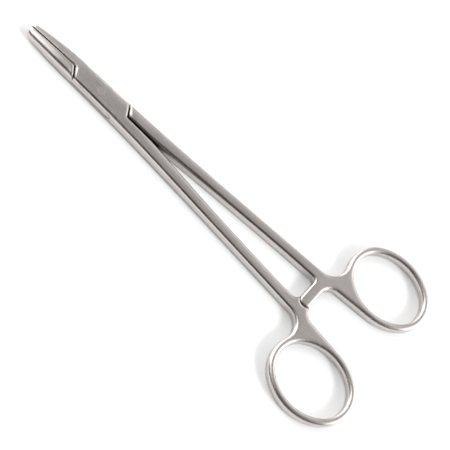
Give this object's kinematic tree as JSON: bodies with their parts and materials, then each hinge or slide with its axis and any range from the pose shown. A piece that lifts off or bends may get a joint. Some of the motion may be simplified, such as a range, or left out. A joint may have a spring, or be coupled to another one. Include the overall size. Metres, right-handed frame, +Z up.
{
  "type": "surgical needle holder",
  "caption": "Surgical needle holder with box joint, tapered cross-hatched jaws, slim shanks, ratchet bars and oval finger rings.",
  "frame": {"origin": "centre of the bounding box in plan, on the surface the instrument lies on, with the jaws closed", "axes": "+X from the jaws to the rings, +Y towards the ring of the through half, +Z up through the thickness"},
  "size_m": [0.1804, 0.0794, 0.0052],
  "materials": {
    "steel": "satin",
    "rivet": "satin, ground flush with the box"
  },
  "bodies": {
    "box": {"box_half": "steel", "pivot_pin": "rivet"},
    "through": {"through_half": "steel"}
  },
  "joints": [
    {"name": "pivot", "type": "hinge", "parent": "box", "child": "through", "pos_m": [-0.055, 0, 0.0026], "axis": [0, 0, 1], "range_deg": [0, 60]}
  ]
}
